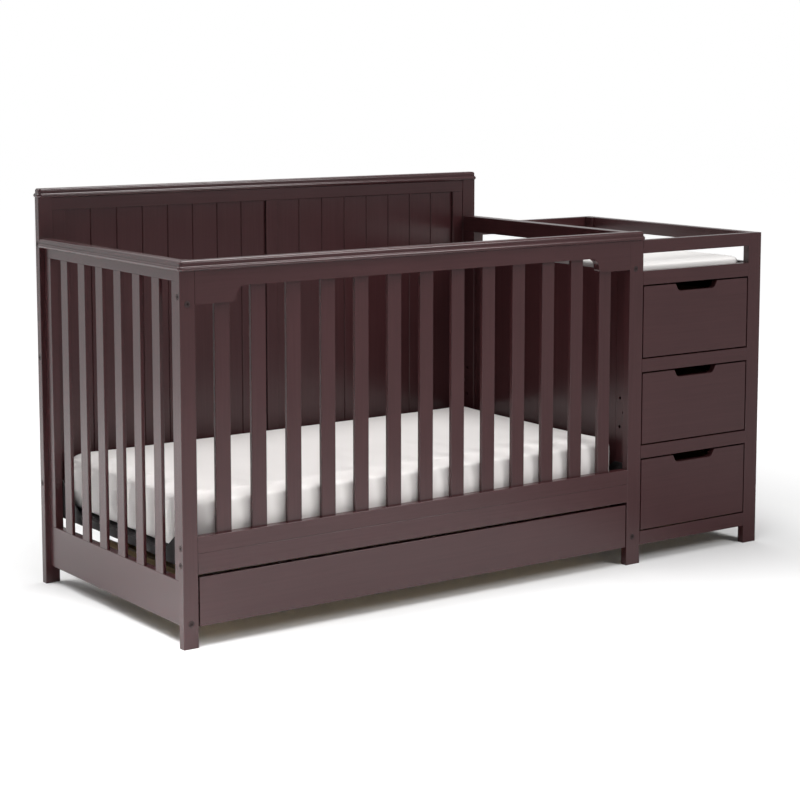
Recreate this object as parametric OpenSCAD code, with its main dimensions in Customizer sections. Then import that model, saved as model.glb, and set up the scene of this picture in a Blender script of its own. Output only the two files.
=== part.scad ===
// Crib with an attached changer: a slatted crib frame that shares one post with a three-drawer changer.
// Millimetres. X runs along the length, the front faces -Y, Z is up, and the origin is on the floor in the
// middle of the footprint. Inside the modules, x = 0 is the outer face of the left leg, y = 0 the front face
// of the legs and z = 0 the floor; placed() moves the finished piece to the origin.

/* [Crib] */
// Width of the mattress space, between the left leg and the shared post
crib_in_w = 1333; // [1331:1:1360]
// Depth of the space between the front frame and the headboard
crib_in_d = 718; // [712:1:740]
// Height of the posts and top rails, under the moulded caps
rail_top = 888; // [870:1:910]
// Height of the headboard, under its cap
head_top = 1016; // [980:1:1060]
// Number of slats in the front frame
front_slat_count = 13; // [11:1:14]
// Number of slats in the left end frame
end_slat_count = 6; // [5:1:7]
// Number of boards in each headboard panel
panel_board_count = 8; // [6:1:9]

/* [Timber] */
// Thickness of posts and rails
post_t = 22; // [20:1:25]
// Width of the left leg and the headboard's left post
leg_w = 40; // [38:1:44]
// Width of the shared post and the changer's front right post
wide_post_w = 48; // [46:1:52]
// Width of a front slat
front_slat_w = 40.4; // [36:0.2:42]
// Width of a slat in the left end
end_slat_w = 38; // [34:1:40]
// Thickness of a front slat
slat_t = 11; // [10:1:13]
// Radius of the eased edges
ease = 1.5; // [1:0.5:3]

/* [Caps] */
// Height of the moulded caps
cap_h = 24; // [22:1:28]
// Overhang of a cap along its front and back
cap_over = 8; // [6:1:10]
// Overhang of a cap past the ends of the frame
cap_end_over = 4; // [3:1:6]
// Plan radius of a cap's corners
cap_corner_r = 12; // [11:1:14]
// Radius of the cap's lower rounded nose
cap_nose_r = 6; // [5:0.5:6.5]

/* [Front frame] */
// Height of the apron board's underside above the floor
front_low_z = 175; // [170:1:182]
// Height of the apron board under the bottom rail
front_apron_h = 50; // [44:1:54]
// Height of the front bottom rail, on the apron board
front_low_h = 40; // [36:1:44]
// Height of the top rail between its brackets
front_top_h = 41; // [36:1:48]
// Radius of the cove in the ogee bracket
cove_r = 25; // [20:1:28]
// Radius of the quarter round below the cove
bead_r = 12; // [8:1:16]

/* [Changer] */
// Width between the changer's front posts
changer_in_w = 397; // [380:1:420]
// Height of one drawer opening
drawer_open_h = 202; // [190:1:204]
// Height of the rails between the drawers
divider_h = 36; // [34:1:40]
// Underside of the changer's bottom rail
changer_low_z = 50; // [44:1:56]
// Height of the changer's bottom rail
changer_low_h = 38; // [36:1:44]
// Height of the rail over the top drawer
tray_rail_h = 38; // [36:1:42]
// Height of the front, right and back gallery rails
gallery_h = 36; // [32:1:40]
// Gap around a changer drawer front
drawer_gap = 4; // [3:0.5:5]

/* [Drawers] */
// Thickness of a drawer front
front_t = 18; // [15:1:18]
// Thickness of a drawer side and back
side_t = 12; // [10:1:13]
// Depth of the crib drawer's box, behind its front
crib_box_d = 490; // [480:1:520]
// Depth of a changer drawer's box, behind its front
changer_box_d = 480; // [470:1:500]
// Width of the grip cut in the top of a changer drawer front
grip_w = 156; // [140:1:170]
// Depth of that grip
grip_d = 20; // [18:1:26]

/* [Runners] */
// Length of a roller runner
runner_l = 450; // [430:10:460]
// Space between the cabinet and a drawer side that a runner takes
runner_gap = 12.7; // [12.7:0.1:13.5]
// Radius of the roller at the front of a fixed track
front_roller_r = 10; // [9:0.5:10]
// Radius of the roller at the back of a drawer's runner
rear_roller_r = 12; // [11:0.5:12]
// Radius of a roller's pin
roller_pin_r = 3; // [2.5:0.5:3.5]

/* [Soft parts] */
// Length of the mattress
mattress_l = 1321; // [1300:1:1322]
// Width of the mattress
mattress_w = 700; // [680:1:704]
// Height of the mattress's side
mattress_h = 139; // [100:1:150]
// Thickness of the changing pad
pad_h = 30; // [24:1:36]

/* [Hidden] */
$fn = 32;

// Finishes, as the photograph shows them
espresso = [0.20, 0.13, 0.13];
bare_wood = [0.55, 0.47, 0.33];
white_cloth = [0.93, 0.92, 0.91];
cream_steel = [0.80, 0.79, 0.76];
black_steel = [0.10, 0.10, 0.11];
nylon = [0.90, 0.90, 0.88];

// Plan of the frame
post_x = leg_w + crib_in_w;
open_x0 = post_x + wide_post_w;
open_x1 = open_x0 + changer_in_w;
total_w = open_x1 + wide_post_w;
back_y = post_t + crib_in_d;
total_d = back_y + post_t;
head_right_w = 44;
head_right_x = post_x - 2;
head_w = head_right_x + head_right_w;
mid_x = (total_w - cap_end_over) / 2;
mid_y = total_d / 2;

// Left end frame
end_inset = 12;
end_t = 22;
end_slat_t = 9;
end_stile_w = 39;
end_in_x = end_inset + end_t;
apron_z0 = 48;
apron_z1 = 156;
end_rail_z = rail_top - 26;
end_cap_x1 = end_in_x + 2;

// Headboard
head_inset = 2;
head_rail_t = 18;
head_rail_h = 33;
head_low_z = 186;
head_low_h = 144;
stile_w = 36;
panel_inset = 10;
panel_t = 8;
groove_w = 4;
groove_d = 2.5;
panel_z0 = head_low_z + head_low_h;
panel_z1 = head_top - head_rail_h;

// Front frame
front_rail_z = rail_top - front_top_h;
front_rail_z0 = front_low_z + front_apron_h;
slat_z0 = front_rail_z0 + front_low_h;
bracket_drop = cove_r + bead_r;
bracket_z = front_rail_z - bracket_drop;
slat_gap = (crib_in_w - front_slat_count * front_slat_w) / (front_slat_count + 1);
bracket_w = slat_gap + front_slat_w;

// Changer
side_inset = 8;
side_panel_t = 20;
stile_t = 25;
stile_d = 38;
back_post_w = 34;
back_post_d = 52;
left_panel_x = post_x + side_inset;
right_panel_x = total_w - side_inset - side_panel_t;
opening_z = [for (i = [0:2]) changer_low_z + changer_low_h + i * (drawer_open_h + divider_h)];
tray_rail_z = opening_z[2] + drawer_open_h;
tray_lip_z = tray_rail_z + tray_rail_h;
top_board_t = 16;
tray_drop = 16;
top_board_z1 = tray_lip_z - tray_drop;
gallery_z = rail_top - gallery_h;
left_gallery_h = 45;
left_gallery_top = rail_top + cap_h - 2;
left_gallery_z = left_gallery_top - left_gallery_h;
right_gallery_t = 26;
back_panel_t = 6;
back_rail_y = back_y - post_t;

// Drawers
front_recess = 1;
front_back_y = front_recess + front_t;
crib_front_z0 = 50;
crib_front_z1 = 168;
crib_front_gap = 4;
crib_side_h = 96;
crib_back_drop = 14;
changer_side_h = 140;
side_lift = 12;
bottom_t = 4;
groove_lift = 10;
groove_in = 5;
cleat_h = 44;

// Roller runners: sheet steel, in a section that is drawn for the left side of a drawer
sheet_t = 1.2;
track_h = 28;
track_d = runner_gap - 2.2;
track_y = post_t + 2;
foot_drop = 6;
roller_fit = 0.05;
roller_play = 0.3;
pin_head_over = 1.5;
pin_head_t = 1;
pin_clear = 2.2;
front_roller_x = 2;
rear_roller_x = 3.7;
front_roller_y = track_y + 12;
front_roller_z = 2 + front_roller_r;
runner_flange_z = front_roller_z + front_roller_r + roller_play;
rear_roller_y = front_back_y + runner_l - 14;
rear_roller_z = sheet_t + roller_play + rear_roller_r;
roller_w = 7.2;

// Bolts
bolt_head_r = 7.5;
bolt_head_h = 3.5;
bolt_shank_r = 3;
bolt_key_r = 3;
bolt_key_depth = 2.2;
bolt_hole_r = 3.25;
bolt_seat_r = 7.8;
bolt_end_gap = 2;
bolt_length_face = 56;
bolt_length_side = 74;
side_bore_l = bolt_length_side - leg_w + bolt_end_gap;

// Heights of the bolts, as seen on the legs and posts
face_bolt_z = [60, 812];
changer_bolt_z = [77, 812];
leg_side_bolt_z = [200, 241, 829];
back_side_bolt_z = [268, 600, 896];
left_bolt_x = 20;
right_bolt_x = left_panel_x + stile_t / 2;

// Mattress support at its low position
support_z = 182;
angle_w = 20;
angle_t = 2;
band_count = 11;
band_w = 26;
band_inset = 18;
band_t = 1.5;
bracket_t = 3;
spare_hole_r = 4.5;
spare_hole_d = 12;
support_clear_y = 14;
support_y0 = post_t + support_clear_y;
support_y1 = back_y - support_clear_y;

// Mattress and changing pad
mattress_corner_r = 62;
mattress_edge_r = 18;
mattress_shift = [1, -2];
mattress_draw = 4;
mattress_crown = 8;
pad_corner_r = 40;
pad_edge_r = 13;
pad_draw = 2;
pad_crown = 4;
pad_clear = 6;

// Moves a piece from the frame's corner to the origin
module placed() {
    translate([-mid_x, -mid_y, 0]) children();
}

// Rectangle with eased corners
module eased_rect(w, h, r = ease) {
    translate([r, 0]) square([w - 2 * r, h]);
    translate([0, r]) square([w, h - 2 * r]);
    for (x = [r, w - r], y = [r, h - r]) translate([x, y]) circle(r);
}

// Boards with their long edges eased, from their lowest to their highest corner
module board_x(p, q) {
    translate(p) rotate([90, 0, 90]) linear_extrude(q.x - p.x) eased_rect(q.y - p.y, q.z - p.z);
}

module board_y(p, q) {
    translate([p.x, q.y, p.z]) rotate([90, 0, 0]) linear_extrude(q.y - p.y) eased_rect(q.x - p.x, q.z - p.z);
}

module board_z(p, q) {
    translate(p) linear_extrude(q.z - p.z) eased_rect(q.x - p.x, q.y - p.y);
}

// Plain block from its lowest to its highest corner
module block(p, q) {
    translate(p) cube(q - p);
}

// Straight holes and pins along X and Y, starting at p
module rod_x(p, r, l) {
    translate(p) rotate([0, 90, 0]) cylinder(r = r, h = l);
}

module rod_y(p, r, l) {
    translate(p) rotate([-90, 0, 0]) cylinder(r = r, h = l);
}

// ---- Moulded caps ----

// Edge section of a cap: u = 0 is the corner's centre line, u = cap_corner_r the nose
module cap_edge() {
    nose_u = cap_corner_r - cap_nose_r;
    top_r = 6;
    top_u = cap_corner_r - 4.5;
    square([nose_u, 2 * cap_nose_r]);
    translate([nose_u, cap_nose_r]) circle(cap_nose_r);
    square([top_u, cap_h - top_r]);
    square([top_u - top_r, cap_h]);
    translate([top_u - top_r, cap_h - top_r]) circle(top_r);
}

// Runs of that edge, with the nose towards -Y, +Y and -X
module cap_front_run(x0, x1, y) {
    translate([x1, y, 0]) rotate([90, 0, -90]) linear_extrude(x1 - x0) cap_edge();
}

module cap_back_run(x0, x1, y) {
    translate([x0, y, 0]) rotate([90, 0, 90]) linear_extrude(x1 - x0) cap_edge();
}

module cap_left_run(y0, y1, x) {
    translate([x, y0, 0]) rotate([90, 0, 180]) linear_extrude(y1 - y0) cap_edge();
}

module cap_right_run(y0, y1, x) {
    translate([x, y1, 0]) rotate([90, 0, 0]) linear_extrude(y1 - y0) cap_edge();
}

module cap_corner(x, y, turn) {
    translate([x, y, 0]) rotate([0, 0, turn]) rotate_extrude(angle = 90) cap_edge();
}

// Cap from corner p to corner q in plan; a square back left corner takes the cap of the end frame
module moulded_cap(p, q, square_back_left = false) {
    r = cap_corner_r;
    back_x = square_back_left ? end_cap_x1 : p.x + r;
    translate([p.x + r, p.y + r, 0]) cube([q.x - p.x - 2 * r, q.y - p.y - 2 * r, cap_h]);
    cap_front_run(p.x + r, q.x - r, p.y + r);
    cap_back_run(back_x, q.x - r, q.y - r);
    cap_left_run(p.y + r, square_back_left ? q.y : q.y - r, p.x + r);
    cap_right_run(p.y + r, q.y - r, q.x - r);
    cap_corner(p.x + r, p.y + r, 180);
    cap_corner(q.x - r, p.y + r, 270);
    cap_corner(q.x - r, q.y - r, 0);
    if (square_back_left) translate([p.x + r, q.y - r, 0]) cube([end_cap_x1 - p.x - r, r, cap_h]);
    else cap_corner(p.x + r, q.y - r, 90);
}

// ---- Headboard ----

module headboard_posts() {
    color(espresso) placed() {
        difference() {
            board_z([0, back_y, 0], [leg_w, total_d, head_top]);
            for (z = face_bolt_z) back_bolt_hole([left_bolt_x, z]);
            for (z = back_side_bolt_z) side_bolt_hole(back_y + post_t / 2, z, leg_w);
        }
        difference() {
            board_z([head_right_x, back_y, 0], [head_w, total_d, head_top]);
            for (z = changer_bolt_z) back_bolt_hole([right_bolt_x, z]);
        }
    }
}

module headboard_cap() {
    color(espresso) placed() translate([0, 0, head_top])
        moulded_cap([-cap_end_over, back_y - cap_over], [head_w + cap_end_over, total_d + cap_over]);
}

module headboard_top_rail() {
    y0 = back_y + head_inset;
    color(espresso) placed() board_x([leg_w, y0, panel_z1], [head_right_x, y0 + head_rail_t, head_top]);
}

module headboard_bottom_rail() {
    y0 = back_y + head_inset;
    color(espresso) placed() difference() {
        board_x([leg_w, y0, head_low_z], [head_right_x, y0 + head_rail_t, panel_z0]);
        rod_x([leg_w, back_y + post_t / 2, back_side_bolt_z[0]], bolt_hole_r, side_bore_l);
    }
}

// Left edges of the two outer stiles and the middle one
stile_x = [leg_w, (leg_w + head_right_x - stile_w) / 2, head_right_x - stile_w];

module headboard_stiles() {
    y0 = back_y + head_inset;
    color(espresso) placed() difference() {
        for (x = stile_x) board_z([x, y0, panel_z0], [x + stile_w, y0 + head_rail_t, panel_z1]);
        for (z = back_side_bolt_z)
            rod_x([leg_w, back_y + post_t / 2, z], bolt_hole_r, side_bore_l);
    }
}

// Plan of one panel: a strip whose front edge has a V groove at each board joint
module grooved_strip(w) {
    board_w = w / panel_board_count;
    grooves = [for (i = [1:panel_board_count - 1]) each [
        [i * board_w - groove_w / 2, 0], [i * board_w, groove_d], [i * board_w + groove_w / 2, 0]]];
    polygon(concat([[0, 0]], grooves, [[w, 0], [w, panel_t], [0, panel_t]]));
}

module headboard_panels() {
    color(espresso) placed() for (i = [0:1]) {
        x0 = stile_x[i] + stile_w;
        translate([x0, back_y + panel_inset, panel_z0])
            linear_extrude(panel_z1 - panel_z0) grooved_strip(stile_x[i + 1] - x0);
    }
}

// ---- Front frame ----

module front_left_leg() {
    color(espresso) placed() difference() {
        board_z([0, 0, 0], [leg_w, post_t, rail_top]);
        for (z = face_bolt_z) front_bolt_hole([left_bolt_x, z]);
        for (z = leg_side_bolt_z) side_bolt_hole(post_t / 2, z, leg_w);
    }
}

module shared_front_post() {
    color(espresso) placed() difference() {
        board_z([post_x, 0, 0], [open_x0, post_t, rail_top]);
        for (z = changer_bolt_z) front_bolt_hole([right_bolt_x, z]);
    }
}

module front_cap() {
    color(espresso) placed() translate([0, 0, rail_top])
        moulded_cap([-cap_end_over, -cap_over], [open_x0 + cap_end_over, post_t + cap_over], true);
}

// Half of the top rail's outline: the bracket ends in a quarter round, then a cove up to the rail
module rail_half_outline(half_l) {
    cove_x = bracket_w + bead_r;
    difference() {
        union() {
            translate([0, bracket_drop]) square([half_l, front_top_h]);
            square([bracket_w, bracket_drop]);
            translate([bracket_w - 1, bead_r]) square([bead_r + 1 + cove_r, cove_r]);
            translate([bracket_w, bead_r]) intersection() {
                circle(bead_r);
                translate([0, -bead_r]) square([bead_r, bead_r]);
            }
        }
        translate([cove_x + cove_r, bead_r]) circle(cove_r);
    }
}

module front_top_rail() {
    half_l = crib_in_w / 2;
    color(espresso) placed() difference() {
        translate([leg_w, post_t, bracket_z]) rotate([90, 0, 0]) linear_extrude(post_t) {
            rail_half_outline(half_l);
            translate([crib_in_w, 0]) mirror([1, 0]) rail_half_outline(half_l);
        }
        rod_x([leg_w, post_t / 2, leg_side_bolt_z[2]], bolt_hole_r, side_bore_l);
    }
}

module front_bottom_rail() {
    color(espresso) placed() difference() {
        board_x([leg_w, 0, front_rail_z0], [post_x, post_t, slat_z0]);
        rod_x([leg_w, post_t / 2, leg_side_bolt_z[1]], bolt_hole_r, side_bore_l);
    }
}

// Fixed board under the rail, which stays when the slatted frame is taken off
module front_apron() {
    color(espresso) placed() difference() {
        board_x([leg_w, 0, front_low_z], [post_x, post_t, front_rail_z0]);
        rod_x([leg_w, post_t / 2, leg_side_bolt_z[0]], bolt_hole_r, side_bore_l);
    }
}

// The outer two slats end under the brackets
module front_slats() {
    color(espresso) placed() for (i = [0:front_slat_count - 1]) {
        x = leg_w + slat_gap + i * (front_slat_w + slat_gap);
        top = (i == 0 || i == front_slat_count - 1) ? bracket_z : front_rail_z;
        board_z([x, post_t - slat_t, slat_z0], [x + front_slat_w, post_t, top]);
    }
}

// ---- Left end frame ----

module left_end_cap() {
    x0 = -cap_end_over;
    y0 = post_t + cap_over;
    core = end_cap_x1 - x0 - 2 * cap_corner_r;
    color(espresso) placed() translate([0, 0, rail_top]) {
        translate([x0 + cap_corner_r, y0, 0]) cube([core, back_y - y0, cap_h]);
        cap_left_run(y0, back_y, x0 + cap_corner_r);
        cap_right_run(y0, back_y, end_cap_x1 - cap_corner_r);
    }
}

module left_end_top_rail() {
    color(espresso) placed() board_y([end_inset, post_t, end_rail_z], [end_in_x, back_y, rail_top]);
}

module left_end_stiles() {
    color(espresso) placed() difference() {
        for (y = [post_t, back_y - end_stile_w])
            board_z([end_inset, y, apron_z1], [end_in_x, y + end_stile_w, end_rail_z]);
        face_bolt_bores(face_bolt_z[1], left_bolt_x, end_stile_w);
        for (h = spare_holes, y = [post_t + h[0], back_y - h[0]])
            rod_x([end_in_x - spare_hole_d, y, h[1]], spare_hole_r, spare_hole_d + 1);
    }
}

module left_end_slats() {
    clear_d = crib_in_d - 2 * end_stile_w;
    gap = (clear_d - end_slat_count * end_slat_w) / (end_slat_count + 1);
    color(espresso) placed() for (i = [0:end_slat_count - 1]) {
        y = post_t + end_stile_w + gap + i * (end_slat_w + gap);
        board_z([end_inset, y, apron_z1], [end_inset + end_slat_t, y + end_slat_w, end_rail_z]);
    }
}

module left_end_apron() {
    color(espresso) placed() difference() {
        board_y([end_inset, post_t, apron_z0], [end_in_x, back_y, apron_z1]);
        face_bolt_bores(face_bolt_z[0], left_bolt_x, end_stile_w);
    }
}

// Bores for the bolts that come through the front and back posts
module face_bolt_bores(z, x, depth) {
    rod_y([x, post_t, z], bolt_hole_r, depth - 2 * bolt_end_gap);
    rod_y([x, back_y - depth + 2 * bolt_end_gap, z], bolt_hole_r, depth - 2 * bolt_end_gap);
}

// ---- Mattress support ----

// Spare holes for the brackets, as distances from the post and heights
spare_holes = [[21, 377], [7, 417], [21, 456]];

// Gusset plate on an end frame, with a tab that carries the support frame; drawn for the front left corner
module corner_bracket() {
    plate_l = 159;
    plate_top = 100;
    slope_y = 35;
    tab_w = 22;
    screw_y = 21;
    screw_lift = 78;
    screw_head_r = 6;
    translate([0, 4, support_z - bracket_t]) {
        rotate([90, 0, 90]) linear_extrude(bracket_t)
            polygon([[0, 0], [plate_l, 0], [plate_l, bracket_t], [slope_y, plate_top], [0, plate_top]]);
        cube([tab_w, plate_l, bracket_t]);
    }
    rod_x([bracket_t, screw_y, support_z + screw_lift], screw_head_r, 3);
}

module support_brackets() {
    color(black_steel) placed() {
        translate([end_in_x, post_t, 0]) corner_bracket();
        translate([end_in_x, back_y, 0]) mirror([0, 1, 0]) corner_bracket();
        translate([left_panel_x, post_t, 0]) mirror([1, 0, 0]) corner_bracket();
        translate([post_x, back_y, 0]) mirror([1, 0, 0]) mirror([0, 1, 0]) corner_bracket();
    }
}

// Block as large as the support frame, drawn in by inset, from z0 to z1
module support_ring(inset, z0, z1) {
    x0 = end_in_x + bracket_t + inset;
    x1 = post_x - bracket_t - inset;
    block([x0, support_y0 + inset, z0], [x1, support_y1 - inset, z1]);
}

// Ring of steel angle: the upright leg outside, the flat leg inwards at the top
module support_frame() {
    z1 = support_z + angle_w;
    color(black_steel) placed() {
        difference() {
            support_ring(0, support_z, z1);
            support_ring(angle_t, 0, z1 + 1);
        }
        difference() {
            support_ring(angle_t, z1 - angle_t, z1);
            support_ring(angle_w, 0, z1 + 1);
        }
    }
}

module support_bands() {
    x0 = end_in_x + band_inset;
    pitch = (post_x - band_inset - x0 - band_w) / (band_count - 1);
    z = support_z + angle_w;
    color(black_steel) placed() for (i = [0:band_count - 1])
        block([x0 + i * pitch, support_y0 + 2, z], [x0 + i * pitch + band_w, support_y1 - 2, z + band_t]);
}

// ---- Soft parts ----

// Outline of a pad: corner arcs joined by sides that draw in towards their middles
function side_points(a, b, draw, n) = let (d = b - a, along = d / norm(d), inward = [-along.y, along.x])
    [for (i = [1:n]) let (t = i / (n + 1)) a + d * t + inward * draw * 4 * t * (1 - t)];

function arc_points(c, r, a0, n) = [for (i = [0:n]) let (a = a0 + 90 * i / n) c + r * [cos(a), sin(a)]];

function pad_outline(l, w, r, inset, draw, n_side) = let (
    hx = l / 2 - r, hy = w / 2 - r, rr = r - inset,
    corner = [for (k = [0:3]) arc_points([(k == 0 || k == 3) ? hx : -hx, k < 2 ? hy : -hy], rr, 90 * k, 5)])
    [for (k = [0:3]) let (next = corner[(k + 1) % 4][0])
        each concat(corner[k], side_points(corner[k][5], next, draw, n_side))];

function signed_power(v, p) = sign(v) * pow(abs(v), p);

// Crowned pad, flat underneath: side rings follow a squared-off half round, crown rings close the top
module crowned_pad(l, w, h, r, edge_r, draw, crown) {
    n_side = 5;
    side_steps = [for (i = [0:8]) -90 + 180 * i / 8];
    rings = concat(
        [for (a = side_steps)
            let (inset = edge_r * (1 - pow(cos(a), 0.55)), z = h / 2 * (1 + signed_power(sin(a), 0.7)))
            [for (p = pad_outline(l, w, r, inset, draw, n_side)) [p.x, p.y, z]]],
        [for (s = [0.88, 0.66, 0.36]) [for (p = pad_outline(l, w, r, edge_r, draw, n_side))
            [p.x * s, p.y * s, h + crown * (1 - s * s)]]]);
    n = len(rings[0]);
    m = len(rings);
    points = concat([for (ring = rings) each ring], [[0, 0, 0], [0, 0, h + crown]]);
    sides = [for (k = [0:m - 2], i = [0:n - 1]) let (j = (i + 1) % n)
        each [[k * n + i, (k + 1) * n + i, (k + 1) * n + j], [k * n + i, (k + 1) * n + j, k * n + j]]];
    base = [for (i = [0:n - 1]) [m * n, i, (i + 1) % n]];
    top = [for (i = [0:n - 1]) [m * n + 1, (m - 1) * n + (i + 1) % n, (m - 1) * n + i]];
    polyhedron(points, concat(sides, base, top));
}

module mattress() {
    z = support_z + angle_w + band_t;
    middle = [(end_in_x + left_panel_x) / 2, (post_t + back_y) / 2] + mattress_shift;
    color(white_cloth) placed() translate([middle.x, middle.y, z])
        crowned_pad(mattress_l, mattress_w, mattress_h, mattress_corner_r, mattress_edge_r, mattress_draw,
            mattress_crown);
}

module changing_pad() {
    x0 = left_panel_x + side_panel_t + pad_clear;
    x1 = right_panel_x - pad_clear;
    y0 = post_t + pad_clear + 2;
    y1 = back_y - back_post_d - pad_clear;
    color(white_cloth) placed() translate([(x0 + x1) / 2, (y0 + y1) / 2, top_board_z1])
        crowned_pad(x1 - x0, y1 - y0, pad_h, pad_corner_r, pad_edge_r, pad_draw, pad_crown);
}

// ---- Changer ----

module changer_front_right_post() {
    color(espresso) placed() board_z([open_x1, 0, 0], [total_w, post_t, rail_top]);
}

module changer_back_posts() {
    y0 = back_y - back_post_d;
    color(espresso) placed() difference() {
        union() {
            board_z([post_x, y0, 0], [post_x + back_post_w, back_y, left_gallery_z]);
            board_z([total_w - back_post_w, y0, 0], [total_w, back_y, rail_top]);
        }
        for (z = changer_bolt_z) rod_y([right_bolt_x, y0 + 10, z], bolt_hole_r, back_post_d - 10);
        for (h = spare_holes) rod_x([post_x - 1, back_y - h[0], h[1]], spare_hole_r, spare_hole_d + 1);
    }
}

// Front stiles of the side frames: the left one goes up to its gallery rail, the right one to the tray
module changer_side_stiles() {
    y1 = post_t + stile_d;
    right_x = total_w - side_inset;
    color(espresso) placed() difference() {
        union() {
            board_z([left_panel_x, post_t, changer_low_z], [left_panel_x + stile_t, y1, left_gallery_z]);
            board_z([right_x - stile_t, post_t, changer_low_z], [right_x, y1, tray_lip_z]);
        }
        for (z = changer_bolt_z) rod_y([right_bolt_x, post_t, z], bolt_hole_r, stile_d - 2);
        for (h = spare_holes) rod_x([left_panel_x - 1, post_t + h[0], h[1]], spare_hole_r, spare_hole_d + 1);
    }
}

module changer_side_panels() {
    y0 = post_t + stile_d;
    y1 = back_y - back_post_d;
    color(espresso) placed() for (x = [left_panel_x, right_panel_x])
        block([x, y0, changer_low_z], [x + side_panel_t, y1, tray_lip_z]);
}

module changer_back_panel() {
    y1 = back_rail_y + post_t / 2;
    color(espresso) placed() block([post_x + back_post_w, y1 - back_panel_t, changer_low_z + changer_low_h],
        [total_w - back_post_w, y1, tray_rail_z]);
}

// Recessed top, notched round the stiles and the back posts
module changer_top_board() {
    x0 = left_panel_x + side_panel_t;
    z0 = top_board_z1 - top_board_t;
    color(espresso) placed() difference() {
        block([x0, post_t, z0], [right_panel_x, back_rail_y, top_board_z1]);
        block([0, back_y - back_post_d, 0], [post_x + back_post_w, back_y, rail_top]);
        block([total_w - back_post_w, back_y - back_post_d, 0], [total_w, back_y, rail_top]);
        block([0, 0, 0], [left_panel_x + stile_t, post_t + stile_d, rail_top]);
        block([total_w - side_inset - stile_t, 0, 0], [total_w, post_t + stile_d, rail_top]);
    }
}

module front_rail(z, h) {
    board_x([open_x0, 0, z], [open_x1, post_t, z + h]);
}

module changer_front_rails() {
    color(espresso) placed() {
        front_rail(changer_low_z, changer_low_h);
        for (i = [0:1]) front_rail(opening_z[i] + drawer_open_h, divider_h);
        front_rail(tray_rail_z, tray_rail_h);
        front_rail(gallery_z, gallery_h);
    }
}

module changer_back_rails() {
    x0 = post_x + back_post_w;
    x1 = total_w - back_post_w;
    rails = [[changer_low_z, changer_low_h], [tray_rail_z, tray_rail_h], [gallery_z, gallery_h]];
    color(espresso) placed() for (r = rails)
        board_x([x0, back_rail_y, r[0]], [x1, back_y, r[0] + r[1]]);
}

// The left rail rises to the top of the crib's cap; the right one is level with the front rail
module changer_side_gallery_rails() {
    color(espresso) placed() {
        difference() {
            board_y([post_x, post_t, left_gallery_z], [post_x + back_post_w, back_y, left_gallery_top]);
            block([post_x - 1, 0, rail_top], [open_x0, post_t + cap_over, rail_top + cap_h]);
        }
        board_y([total_w - right_gallery_t, post_t, gallery_z], [total_w, back_y - back_post_d, rail_top]);
    }
}

// Strip that brings a track level with the edge of a post
module cleat(x0, x1, z) {
    z0 = z - (cleat_h - track_h) / 2;
    block([x0, post_t, z0], [x1, track_y + runner_l, z0 + cleat_h]);
}

module runner_cleats() {
    y1 = post_t + stile_d;
    color(bare_wood) placed() {
        cleat(end_in_x, leg_w, crib_track_z);
        cleat(post_x, left_panel_x, crib_track_z);
        difference() {
            for (z = changer_track_z) {
                cleat(left_panel_x + side_panel_t, open_x0, z);
                cleat(open_x1, right_panel_x, z);
            }
            block([left_panel_x, 0, 0], [left_panel_x + stile_t, y1, rail_top]);
            block([total_w - side_inset - stile_t, 0, 0], [total_w, y1, rail_top]);
        }
    }
}

// ---- Bolts ----

// Socket-head bolt along +Z from the outer face of its head
module bolt(l) {
    difference() {
        cylinder(r = bolt_head_r, h = bolt_head_h);
        translate([0, 0, -1]) cylinder(r = bolt_key_r, h = bolt_key_depth + 1, $fn = 6);
    }
    translate([0, 0, bolt_head_h]) cylinder(r = bolt_shank_r, h = l - bolt_head_h);
}

module front_bolt_hole(xz) {
    rod_y([xz[0], -1, xz[1]], bolt_seat_r, bolt_head_h + 1);
    rod_y([xz[0], 0, xz[1]], bolt_hole_r, post_t + 1);
}

module back_bolt_hole(xz) {
    rod_y([xz[0], total_d - bolt_head_h, xz[1]], bolt_seat_r, bolt_head_h + 1);
    rod_y([xz[0], back_y - 1, xz[1]], bolt_hole_r, post_t + 1);
}

module side_bolt_hole(y, z, depth) {
    rod_x([-1, y, z], bolt_seat_r, bolt_head_h + 1);
    rod_x([0, y, z], bolt_hole_r, depth + 1);
}

module frame_bolts() {
    front_bolts = [for (z = face_bolt_z) [left_bolt_x, z], for (z = changer_bolt_z) [right_bolt_x, z]];
    color(black_steel) placed() {
        for (b = front_bolts) {
            translate([b[0], 0, b[1]]) rotate([-90, 0, 0]) bolt(bolt_length_face);
            translate([b[0], total_d, b[1]]) rotate([90, 0, 0]) bolt(bolt_length_face);
        }
        for (z = leg_side_bolt_z) translate([0, post_t / 2, z]) rotate([0, 90, 0]) bolt(bolt_length_side);
        for (z = back_side_bolt_z)
            translate([0, back_y + post_t / 2, z]) rotate([0, 90, 0]) bolt(bolt_length_side);
    }
}

// ---- Roller runners ----
// Sections are drawn from the cabinet's face at x = 0, with the drawer side at x = runner_gap

// Fixed track: a C of sheet steel with the front roller's pin
module track() {
    translate([0, track_y, 0]) {
        cube([sheet_t, runner_l, track_h]);
        cube([track_d, runner_l, sheet_t]);
        translate([0, 0, track_h - sheet_t]) cube([track_d, runner_l, sheet_t]);
    }
    rod_x([0, front_roller_y, front_roller_z], roller_pin_r, track_d);
    rod_x([track_d - pin_head_t, front_roller_y, front_roller_z], roller_pin_r + pin_head_over, pin_head_t);
}

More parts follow.
